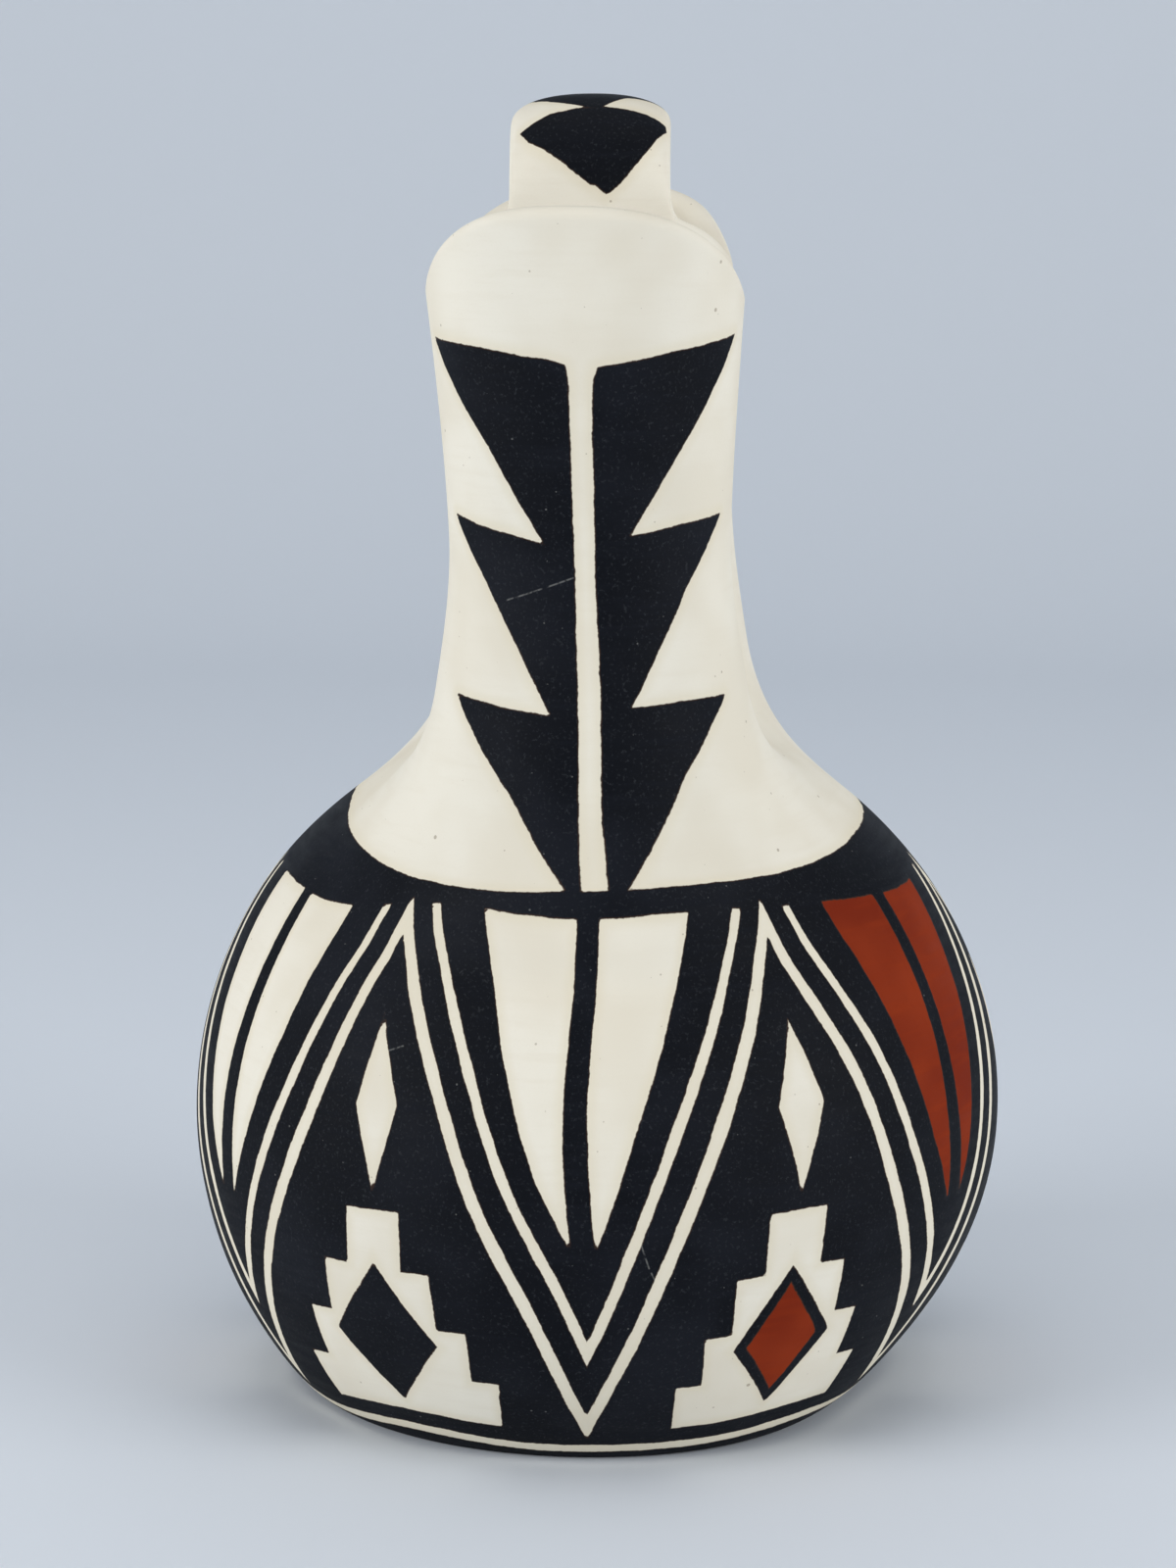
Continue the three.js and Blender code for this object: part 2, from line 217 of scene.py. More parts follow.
def lip_height(angle):
    rise = np.where(np.cos(angle) > 0, OUTER_LIP_RISE, INNER_LIP_RISE)
    fullness = 1.0 - np.abs(np.sin(angle)) ** LIP_FULLNESS
    power = 1.0 / LIP_FULLNESS
    lowest = LIP_SOFTNESS ** power
    share = ((fullness + LIP_SOFTNESS) ** power - lowest) / ((1 + LIP_SOFTNESS) ** power - lowest)
    return DIP_HEIGHT + rise * share


# Fields that melt neighbouring forms together

def melted(first, second, reach):
    """The lesser of two distances, rounded off where they come within a reach of each other."""
    reach = np.maximum(reach, NUDGE)
    share = np.maximum(reach - np.abs(first - second), 0.0) / reach
    return np.minimum(first, second) - reach * share ** 2 / 4


def outside_shoulder(points, inset):
    x, y, z = points[..., 0], points[..., 1], points[..., 2]
    ball = np.sqrt(x ** 2 + y ** 2 + (z - BELLY_CENTRE) ** 2) - (BELLY_RADIUS - inset)
    half_width, half_depth, offset = spout_section(z)
    wide, deep = half_width - inset, half_depth - inset

    def spout(away):
        return (np.hypot(x / wide, away / deep) - 1.0) * deep

    spouts = melted(spout(y + offset), spout(y - offset), VALLEY_MELT)
    return melted(ball, spouts, FLARE_MELT * smoothstep(z - SHOULDER_SEAM, 0.0, FLARE_FADE))


def slope_of(field, points):
    """Direction and rate in which a field grows, measured over a small step."""
    slope = np.empty_like(points)
    for axis in range(3):
        step = np.zeros(3)
        step[axis] = NUDGE
        slope[..., axis] = (field(points + step) - field(points - step)) / (2 * NUDGE)
    return slope


def drawn_to(field, points, steps, level=0.0, plane=None):
    """Points drawn to a level of a field by short steps. Those in the plane mask keep their y."""
    points = points.copy()
    for _ in range(steps):
        slope = slope_of(field, points)
        if plane is not None:
            slope[plane, 1] = 0.0
        length = np.maximum((slope ** 2).sum(-1, keepdims=True), NUDGE)
        points -= slope * (field(points) - level)[..., None] / length
    return points


# Shoulder: flare lines run from a spout's root out to the seam or in to the saddle between the spouts

def flare_rows(inset, rows):
    index = np.arange(RING_COLUMNS)
    angle = 2 * math.pi * index / RING_COLUMNS
    side = np.minimum(index, RING_COLUMNS - index)
    sideways = np.where(index > RING_COLUMNS // 2, -1.0, 1.0)
    corner_angle = 2 * math.pi * CORNER_COLUMN / RING_COLUMNS
    to_saddle = (side - CORNER_COLUMN) / (RING_COLUMNS / 2 - CORNER_COLUMN)
    inner = to_saddle > 0

    def field(points):
        return outside_shoulder(points, inset)

    root = spout_point(angle, ROOT_HEIGHT, inset, FRONT_MOUTH)
    seam_radius = ball_radius_at(SHOULDER_SEAM, inset)
    bearing = math.pi / 2 * (1 + to_saddle * (math.pi / corner_angle - 1))
    seam_y = np.where(side == CORNER_COLUMN, 0.0, -seam_radius * np.cos(bearing))
    on_seam = columns(sideways * seam_radius * np.sin(bearing), seam_y, SHOULDER_SEAM)
    radius = BELLY_RADIUS - inset
    lowest = math.acos((SHOULDER_SEAM - BELLY_CENTRE) / radius)
    tilt = lowest * np.maximum(1 - to_saddle, 0.0) ** SADDLE_SPACING
    guide = columns(sideways * radius * np.sin(tilt), 0.0, BELLY_CENTRE + radius * np.cos(tilt))
    on_saddle = drawn_to(field, guide, DRAWING_STEPS, plane=np.ones(RING_COLUMNS, bool))
    end = np.where(inner[:, None], on_saddle, on_seam)

    reach = np.linalg.norm(end - root, axis=-1, keepdims=True)
    down = unit(spout_point(angle, ROOT_HEIGHT - 1, inset, FRONT_MOUTH) - root) * reach
    upright = slope_of(field, end)
    upright[inner, 1] = 0.0
    upright = unit(upright)
    out = end - root
    out -= upright * (out * upright).sum(-1, keepdims=True)
    out[:, 1] += reach[:, 0] * smoothstep(to_saddle, -CORNER_TURN, CORNER_TURN)
    out = unit(out) * reach

    share = np.linspace(0, 1, rows + 1)[:, None, None]
    lines = (
        root * (2 * share ** 3 - 3 * share ** 2 + 1)
        + down * (share ** 3 - 2 * share ** 2 + share)
        + end * (3 * share ** 2 - 2 * share ** 3)
        + out * (share ** 3 - share ** 2)
    )
    lines[1:-1] = drawn_to(field, lines[1:-1], DRAWING_STEPS)
    return lines


# Strap

def signed_power(value, power):
    return np.sign(value) * np.abs(value) ** power


def strap_plan():
    """Span, rise, foot height, and the lip's middle half sizes and mouth share where the strap stands."""
    seat = lip_height(np.array(math.pi))
    half_width, half_depth, offset = spout_section(seat)
    lip_half_width = half_width - WALL / 2
    lip_half_depth = half_depth - WALL / 2
    span = offset - lip_half_depth
    rise = STRAP_ROOT + STRAP_RISE - STRAP_THICKNESS / 2
    return span, rise, seat - STRAP_ROOT, lip_half_width, lip_half_depth, mouth_share(seat)


SPAN, RISE, STRAP_FOOT, LIP_HALF_WIDTH, LIP_HALF_DEPTH, SEAT_SHARE = map(float, strap_plan())


def strap_shape(turn_share, sine):
    """Middle, width, thickness, foot share and lip middle of the strap at a share of its turn."""
    at_foot = 1 - smoothstep(sine, STRAP_SEAT, 1.0)
    spread = 1 - smoothstep(sine, 0.0, STRAP_SPREAD)
    width = lerp(STRAP_WIDTH, STRAP_FOOT_WIDTH, spread ** 2)
    thickness = lerp(STRAP_THICKNESS, STRAP_FOOT_THICKNESS, at_foot)
    middle = lerp(FRONT_FOOT_DRIFT, REAR_FOOT_DRIFT, turn_share)
    lip_middle = lerp(FRONT_MOUTH["drift"], REAR_MOUTH["drift"], turn_share) * SEAT_SHARE
    return middle, width, thickness, at_foot, lip_middle


def lip_bend(x, lip_middle):
    return LIP_HALF_DEPTH * (1 - np.sqrt(1 - np.clip((x - lip_middle) / LIP_HALF_WIDTH, -1, 1) ** 2))


def strap_centre(turn):
    y = -SPAN * signed_power(np.cos(turn), 2 / STRAP_ARCH)
    z = STRAP_FOOT + RISE * signed_power(np.sin(turn), 2 / STRAP_ARCH)
    return y, z


def strap_rows(steps, sides):
    turn = np.linspace(0, math.pi, steps + 1)
    y, z = strap_centre(turn)
    before = strap_centre(np.maximum(turn - NUDGE, 0))
    after = strap_centre(np.minimum(turn + NUDGE, math.pi))
    run = unit(np.stack([after[0] - before[0], after[1] - before[1]], -1))
    middle, width, thickness, at_foot, lip_middle = strap_shape(turn / math.pi, np.sin(turn))
    side = np.linspace(0, 2 * math.pi, sides, endpoint=False)
    across = signed_power(np.cos(side), 2 / STRAP_EDGE) / 2
    depth = signed_power(np.sin(side), 2 / STRAP_EDGE) / 2
    x = middle[:, None] + width[:, None] * across
    off = thickness[:, None] * depth
    bend = lip_bend(x, lip_middle[:, None]) * at_foot[:, None]
    rows_y = y[:, None] - run[:, 1:] * off - np.sign(np.cos(turn))[:, None] * bend
    rows_z = z[:, None] + run[:, :1] * off
    return columns(x, rows_y, rows_z)


def strap_section(points):
    """Shares of the strap's half width and half thickness that a point lies off its middle line."""
    x, y, z = points[..., 0], points[..., 1], points[..., 2]
    facing = np.where(y < 0, 1.0, -1.0)
    above = np.maximum(z - STRAP_FOOT, NUDGE) / RISE
    straight = np.abs(y)
    for _ in range(3):
        norm = ((straight / SPAN) ** STRAP_ARCH + above ** STRAP_ARCH) ** (1 / STRAP_ARCH)
        sine = (above / norm) ** (STRAP_ARCH / 2)
        quarter = np.arcsin(np.clip(sine, 0, 1)) / math.pi
        turn_share = np.where(facing > 0, quarter, 1 - quarter)
        middle, width, thickness, at_foot, lip_middle = strap_shape(turn_share, sine)
        straight = np.maximum(np.abs(y) - lip_bend(x, lip_middle) * at_foot, NUDGE)
    rate = norm ** (1 - STRAP_ARCH) * np.hypot(
        (straight / SPAN) ** (STRAP_ARCH - 1) / SPAN, above ** (STRAP_ARCH - 1) / RISE)
    off = (norm - 1) / rate / (thickness / 2)
    return (x - middle) / (width / 2), off, width, thickness


def outside_strap(points):
    across, off, width, thickness = strap_section(points)
    across, off = np.abs(across), np.abs(off)
    norm = np.maximum((across ** STRAP_EDGE + off ** STRAP_EDGE) ** (1 / STRAP_EDGE), NUDGE)
    rate = norm ** (1 - STRAP_EDGE) * np.hypot(
        across ** (STRAP_EDGE - 1) / (width / 2), off ** (STRAP_EDGE - 1) / (thickness / 2))
    return (norm - 1) / np.maximum(rate, NUDGE)


def outside_lip(points, mouth):
    """Distance from the front spout's wall with its rounded lip."""
    x, y, z = points[..., 0], points[..., 1], points[..., 2]
    half_width, half_depth, offset = spout_section(z)
    wide, deep = half_width - WALL / 2, half_depth - WALL / 2
    across = (x - mouth["drift"] * mouth_share(z)) / wide
    along = -(y + offset) / deep
    off_wall = (np.hypot(across, along) - 1.0) * deep
    crest = lip_height(np.arctan2(across, along)) - WALL / 2 + mouth["tilt"] * SEAT_SHARE * across * wide
    return np.hypot(off_wall, np.maximum(z - crest, 0.0)) - WALL / 2


def outside_lips(points):
    """Distance from the nearer spout, seen from a point of the strap."""
    turned_points = points * np.array([-1.0, -1.0, 1.0])
    front = outside_lip(points, FRONT_MOUTH)
    rear = outside_lip(turned_points, turned(REAR_MOUTH))
    return np.where(points[..., 1] < 0, front, rear)


def luted(own, other):
    """One piece's share of the smooth joint of strap and lip: it dives inside where the other leads."""
    def field(points):
        mine, theirs = own(points), other(points)
        level = STRAP_FOOT + STRAP_ROOT
        reach = STRAP_MELT * smoothstep(points[..., 2], level - STRAP_ROOT - STRAP_MELT_DEPTH, level)
        hidden = np.maximum(mine - theirs, 0.0)
        return melted(mine, theirs, reach) + DIVE_RATE * hidden ** 2 / (hidden + DIVE_SOFTNESS)
    return field


# Hand-made unevenness: a slow drift of every point and three shallow dents, the same for all pieces

SKIN_SHARE = np.array([0.998, 0.998, 1.0])
DRIFT_SEED = 17
DRIFT_START = 8.0
DRIFT_WAVES = 5
DRIFT_LENGTHS = (28.0, 75.0)
DRIFT_SIZE = 0.05
DENTS = (
    {"at": (-52.0, -6.0, 122.0), "radius": 17.0, "push": (1.8, 0.0, 0.0)},
    {"at": (55.0, -18.0, 0.0), "radius": 34.0, "push": (-4.0, 1.0, 1.5)},
    {"at": (22.0, 62.0, 221.0), "radius": 9.0, "push": (0.7, 0.0, 0.7)},
)


def drift_waves():
    rng = np.random.default_rng(DRIFT_SEED)
    directions = unit(rng.normal(size=(3, DRIFT_WAVES, 3)))
    lengths = rng.uniform(*DRIFT_LENGTHS, size=(3, DRIFT_WAVES, 1))
    phases = rng.uniform(0, 2 * math.pi, size=(3, DRIFT_WAVES))
    return directions * 2 * math.pi / lengths, phases


WAVES, PHASES = drift_waves()


def hand_made(points):
    """Where a point of the ideal form lies on the finished vase."""
    moved = points * SKIN_SHARE
    lifted = smoothstep(points[..., 2], 0.0, DRIFT_START)
    for axis in range(3):
        drift = np.sin(points @ WAVES[axis].T + PHASES[axis]).sum(-1)
        moved[..., axis] += DRIFT_SIZE * drift * lifted
    for dent in DENTS:
        away = np.linalg.norm(points - np.array(dent["at"]), axis=-1) / dent["radius"]
        moved += np.exp(-away ** 2)[..., None] * np.array(dent["push"])
    return moved


# Painted design: distances in millimetres from the edge of each colour, negative inside it

CORNER_ROUND = 0.15
NO_PAINT = 50.0

# Belly: a slender zigzag round the ball, a second line and paired triangles in its hollows, and stepped
# pyramids under its peaks. Across is measured along the ball's widest turn and up along its curve.
HALF_TURN = BELLY_RADIUS * math.pi
CELL = HALF_TURN / 3
ZIG_LOW = -46.0
ZIG_HIGH = 50.0
ZIG_RUN = CELL / 2 / (ZIG_HIGH - ZIG_LOW)
LINE_HALF = 1.1
SECOND_LINE = 7.2
TOP_EDGE = 51.5
BASE_LINE = -52.6
HANGING_TRIANGLE = ((2.4, 51.5), (21.0, 51.5), (14.2, 26.0), (7.3, 6.0), (2.4, -6.0))
PYRAMID_FOOT = -47.0
PYRAMID_STEP = 11.0
PYRAMID_HALVES = (22.0, 16.5, 11.0, 5.5)
DIAMOND = {"centre": -28.5, "half": (7.6, 11.6), "outline": (10.9, 16.0)}
LOZENGE = {"centre": 16.0, "half": (4.4, 15.0)}

# Waver of the belly's hand-drawn lines: each wave's size, turns round the ball, rate up it and phase
WAVER_ACROSS = ((0.9, 4, 1 / 17, 0.6), (0.4, -6, 1 / 9, 0.0))
WAVER_UP = ((0.8, 6, 0.0, 1.1), (0.4, 9, 1 / 21, 0.0))

# Neckline: degrees round the vase and heights, rounded by the mean of samples on either side
NECKLINE = (
    (-180, 106.0), (-160, 106.2), (-140, 107.2), (-125, 109.0), (-110, 111.4), (-96, 112.6), (-83, 112.2),
    (-70, 110.7), (-55, 109.0), (-41, 106.9), (-28, 105.8), (-14, 105.5), (0, 106.1), (17, 106.5),
    (38, 106.4), (56, 107.5), (67, 108.5), (77, 109.3), (88, 110.0), (103, 110.6), (120, 109.6),
    (140, 107.6), (160, 106.2), (180, 106.0),
)
NECKLINE_ROUNDING = 6.0
NECKLINE_SAMPLES = 7
NECKLINE_SLOPE = 1.25

# Spout ornament: two columns of three stacked triangles, as degrees round the spout and heights
COLUMN_RADIUS = 26.2
LEFT_COLUMN = (
    (-72, 201.6), (-40, 200.6), (-12, 199.1), (-5.9, 198.2), (-5.1, 194.5), (-5.2, 185.0), (-5.0, 176.5),
    (-4.2, 159.0), (-4.0, 150.5), (-3.0, 137.5), (-2.8, 124.7), (-2.3, 116.0), (-1.0, 104.0),
    (-3.2, 104.0), (-8.6, 108.6), (-26, 122.4), (-44, 132.6), (-55.5, 138.7), (-28.7, 137.2),
    (-12.3, 136.4), (-27, 148.4), (-42, 158.3), (-65.4, 170.5), (-31.7, 168.0), (-16.1, 166.6),
    (-26.7, 174.0), (-39.2, 183.2),
)
RIGHT_COLUMN = (
    (71, 202.3), (41, 200.4), (17, 198.6), (5.7, 197.8), (4.4, 195.5), (3.8, 190.0), (3.7, 183.0),
    (4.1, 176.5), (4.1, 159.0), (4.9, 150.5), (5.6, 138.0), (5.2, 124.7), (5.7, 116.0), (7.4, 104.0),
    (9.6, 104.0), (15.0, 108.6), (35.3, 125.6), (49, 133.4), (59.5, 138.5), (36, 138.4), (15.9, 137.8),
    (29, 148.4), (43.0, 158.4), (66.2, 170.8), (40, 169.6), (17.4, 168.0), (27, 174.6), (37.7, 182.0),
)

# Strap ornament: a fan on each face and a lens over the crown, as sideways and along from the crown,
# where the way along is measured by short steps of the strap's middle line
ARCH_STEPS = 400
FRONT_FAN = (
    (-13.7, -13.2), (-8.1, -10.5), (-2.1, -9.3), (1.4, -9.0), (7.9, -9.6), (12.7, -10.4), (12.9, -11.6),
    (9.8, -16.7), (5.8, -20.8), (3.0, -22.9), (2.0, -23.2), (1.0, -22.6), (-5.4, -18.7), (-12.1, -15.3),
)
CROWN_LENS = (
    (-2.1, -9.4), (-2.1, -8.8), (-5.0, -7.8), (-8.4, -6.2), (-11.2, -4.0), (-13.0, 0.0), (-11.2, 4.0),
    (-8.4, 6.2), (-2.1, 8.8), (-1.4, 9.4), (2.1, 9.4), (2.1, 8.8), (7.0, 4.4), (11.0, 2.0), (12.6, 0.0),
    (9.6, -2.4), (5.6, -4.4), (1.4, -8.8), (1.4, -9.4),
)

# Short faint scratches in the dark paint of the front, from point to point as sideways and up
SCRATCHES = (
    ((-14.1, 156.3), (-2.2, 160.8)),
    ((9.8, 47.3), (11.6, 41.5)),
    ((12.0, 40.6), (13.6, 37.0)),
    ((-38.0, 76.0), (-32.0, 78.5)),
)


def outline_distance(x, y, corners):
    """Signed distance of many points from a closed outline."""
    corners = np.asarray(corners, float)
    nearest = np.full(x.shape, np.inf)
    inside = np.zeros(x.shape, bool)
    for (x0, y0), (x1, y1) in zip(corners, np.roll(corners, -1, axis=0)):
        edge_x, edge_y = x1 - x0, y1 - y0
        share = np.clip(((x - x0) * edge_x + (y - y0) * edge_y) / (edge_x ** 2 + edge_y ** 2), 0, 1)
        nearest = np.minimum(nearest, (x - x0 - share * edge_x) ** 2 + (y - y0 - share * edge_y) ** 2)
        crosses = ((y0 > y) != (y1 > y)) & (x < edge_x * (y - y0) / (edge_y if edge_y else NUDGE) + x0)
        inside ^= crosses
    return np.sqrt(nearest) * np.where(inside, -1.0, 1.0)


def upright_lozenge(x, v, centre, half_width, half_height):
    scale = half_width * half_height / math.hypot(half_width, half_height)
    return (np.abs(x) / half_width + np.abs(v - centre) / half_height - 1.0) * scale


def pyramid(x, v):
    """A stepped pyramid: the nearest of its steps, each a block from the foot up."""
    steps = []
    for number, half in enumerate(PYRAMID_HALVES, start=1):
        top = PYRAMID_FOOT + PYRAMID_STEP * number
        steps.append(np.maximum.reduce([np.abs(x) - half, v - top, PYRAMID_FOOT - v]))
    return np.minimum.reduce(steps)


def waver(bearing, v, waves):
    return sum(size * np.sin(turns * bearing + rate * v + phase) for size, turns, rate, phase in waves)


def belly_colours(points):
    """Distances from the cream and the rust shapes on the dark belly."""
    x, y, z = points[..., 0], points[..., 1], points[..., 2]
    bearing = np.arctan2(x, -y)
    u = BELLY_RADIUS * bearing
    v = BELLY_RADIUS * np.arctan2(z - BELLY_CENTRE, np.hypot(x, y))
    u = u + waver(bearing, v, WAVER_ACROSS)
    v = v + waver(bearing, v, WAVER_UP)
    cell = np.round(u / CELL)
    rise = np.floor(u / CELL)
    hollow = np.abs(u - cell * CELL)
    peak = CELL / 2 - hollow
    above = (v - ZIG_LOW - hollow / ZIG_RUN) * ZIG_RUN / math.hypot(ZIG_RUN, 1.0)

    zigzag = np.abs(above) - LINE_HALF
    second = np.maximum(np.abs(above - SECOND_LINE) - LINE_HALF * 0.8, v - TOP_EDGE)
    base_line = np.abs(v - BASE_LINE) - LINE_HALF * 0.9
    hanging = outline_distance(hollow, v, HANGING_TRIANGLE)
    diamond = upright_lozenge(peak, v, DIAMOND["centre"], *DIAMOND["half"])
    ring = -upright_lozenge(peak, v, DIAMOND["centre"], *DIAMOND["outline"])
    stepped = np.maximum(pyramid(peak, v), ring)
    lozenge = upright_lozenge(peak, v, LOZENGE["centre"], *LOZENGE["half"])

    rust_cell = np.mod(cell, 3) == 1
    rust_rise = np.mod(rise, 3) != 2
    cream = np.minimum.reduce([
        zigzag, second, base_line, stepped, lozenge, np.where(rust_cell, NO_PAINT, hanging)])
    rust = np.minimum(np.where(rust_cell, hanging, NO_PAINT), np.where(rust_rise, diamond, NO_PAINT))
    return cream - CORNER_ROUND, rust - CORNER_ROUND


def column_distance(points, mouth, half_turn):
    """Distance from the stacked triangles on a spout and on the flare below it."""
    if half_turn:
        points = points * np.array([-1.0, -1.0, 1.0])
    half_width, half_depth, offset = spout_section(points[..., 2])
    across = (points[..., 0] - mouth["drift"] * mouth_share(points[..., 2])) / half_width
    angle = np.arctan2(across, -(points[..., 1] + offset) / half_depth)
    shapes = []
    for outline in (LEFT_COLUMN, RIGHT_COLUMN):
        corners = [(COLUMN_RADIUS * math.radians(turn), height) for turn, height in outline]
        shapes.append(outline_distance(COLUMN_RADIUS * angle, points[..., 2], corners))
    return np.minimum(*shapes) - CORNER_ROUND


def neckline_height(bearing):
    """Height of the neckline at a bearing in degrees, with the turns of its outline rounded off."""
    turns, heights = zip(*NECKLINE)
    shifts = np.linspace(-NECKLINE_ROUNDING, NECKLINE_ROUNDING, NECKLINE_SAMPLES)
    return np.mean([np.interp(bearing + shift, turns, heights, period=360.0) for shift in shifts], axis=0)


def vase_colours(points):
    """Distances from the dark paint and from the rust, on body and spouts."""
    cream, rust = belly_colours(points)
    bearing = np.degrees(np.arctan2(points[..., 0], -points[..., 1]))
    above_neckline = (points[..., 2] - neckline_height(bearing)) * NECKLINE_SLOPE
    dark = np.maximum.reduce([above_neckline, -cream, -rust])
    front = column_distance(points, FRONT_MOUTH, False)
    rear = column_distance(points, turned(REAR_MOUTH), True)
    columns_dark = np.where(points[..., 1] < 0, front, rear)
    return np.minimum(dark, columns_dark), np.maximum(rust, above_neckline + LINE_HALF)


def strap_colours(points):
    """Distances from the dark paint on the strap, and from no rust."""
    y, z = strap_centre(np.linspace(0, math.pi, ARCH_STEPS + 1))
    along = np.concatenate([[0.0], np.cumsum(np.hypot(np.diff(y), np.diff(z)))])
    along -= along[ARCH_STEPS // 2]
    bearing = np.arctan2(points[..., 1] / SPAN, np.maximum(points[..., 2] - STRAP_FOOT, 0) / RISE)
    arch = np.arctan2(y / SPAN, (z - STRAP_FOOT) / RISE)
    way = np.interp(bearing, arch, along)
    across, off, _, thickness = strap_section(points)
    sideways = points[..., 0] + np.sign(across) * (1 - off) * STRAP_THICKNESS / 2
    rear_fan = [(-side, -distance) for side, distance in FRONT_FAN]
    shapes = []
    for outline in (FRONT_FAN, CROWN_LENS, rear_fan):
        corners = [(round_the_edge(side), distance) for side, distance in outline]
        shapes.append(outline_distance(sideways, way, corners))
    dark = np.minimum.reduce(shapes) - CORNER_ROUND
    return np.maximum(dark, -off * thickness / 2), np.full(dark.shape, NO_PAINT)


def round_the_edge(side):
    """Sideways place of a point on the strap's outer face, measured on round the strap's edge."""
    off_middle = side - (FRONT_FOOT_DRIFT + REAR_FOOT_DRIFT) / 2
    share = min(abs(off_middle) / (STRAP_WIDTH / 2), 1.0)
    fall = 1 - (1 - share ** STRAP_EDGE) ** (1 / STRAP_EDGE)
    return side + math.copysign(fall * STRAP_THICKNESS / 2, off_middle)


# Meshes

def ring_faces(rows, width, first=0, closed=False):
    """Corner numbers of the cells between neighbouring closed rows."""
    row = np.arange(rows if closed else rows - 1)[:, None]
    column = np.arange(width)[None, :]
    after = (column + 1) % width
    above = (row + 1) % rows
    cells = [row * width + column, row * width + after, above * width + after, above * width + column]
    return first + np.stack(np.broadcast_arrays(*cells), -1).reshape(-1, 4)


def welded(points, faces):
    """Merges points that are equal to within a nudge, and drops the cells that collapse."""
    keys = np.round(points / NUDGE + KEY_SHIFT).astype(np.int64)
    _, first, lookup = np.unique(keys, axis=0, return_index=True, return_inverse=True)
    faces = lookup.reshape(-1)[faces]
    points = points[first]
    kept = []
    for face in faces.tolist():
        corners = [corner for place, corner in enumerate(face) if corner != face[place - 1]]
        if len(set(corners)) == len(corners) and len(corners) > 2:
            kept.append(corners)
    return points, kept


def signed_volume(points, faces):
    total = 0.0
    for size in (3, 4):
        cells = np.array([face for face in faces if len(face) == size], int)
        if not len(cells):
            continue
        for corner in range(1, size - 1):
            a, b, c = points[cells[:, 0]], points[cells[:, corner]], points[cells[:, corner + 1]]
            total += np.einsum("ij,ij->", a, np.cross(b, c))
    return total


def make_piece(name, points, faces, colours, material, nodes, inside):
    """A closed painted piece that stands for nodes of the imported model."""
    points, faces = welded(points, faces)
    if signed_volume(points, faces) < 0:
        faces = [face[::-1] for face in faces]
    dark, rust = colours(points)
    deep = inside(points)
    bare = np.minimum(deep, (DIP_HEIGHT - SLIPPED_MOUTH - points[:, 2]) / SLIP_RUN_OUT)
    mesh = bpy.data.meshes.new(name)
    mesh.from_pydata((hand_made(points) * MM).tolist(), [], faces)
    painted = {"dark": np.maximum(dark, deep), "rust": np.maximum(rust, deep), "bare": bare}
    for label, values in painted.items():
        layer = mesh.attributes.new(label, "FLOAT", "POINT")
        layer.data.foreach_set("value", np.asarray(values, np.float32))
    mesh.shade_smooth()
    mesh.set_sharp_from_angle(angle=math.radians(SHARP_ANGLE))
    mesh.materials.append(material)
    piece = bpy.data.objects.new(name, mesh)
    bpy.context.scene.collection.objects.link(piece)
    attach(piece, "root")
    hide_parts(*nodes)
    return piece


def inside_ball(points):
    """How far a point lies inside the middle of the ball's wall, or under the foot."""
    middle = BELLY_RADIUS - WALL / 2
    depth = middle - np.linalg.norm(points - np.array([0, 0, BELLY_CENTRE]), axis=-1)
    under = FOOT_RADIUS - BARE_RIM - np.hypot(points[..., 0], points[..., 1])
    return np.where(points[..., 2] < UNDERSIDE, under, depth)


def nowhere(points):
    return np.full(points.shape[:-1], -NO_PAINT)


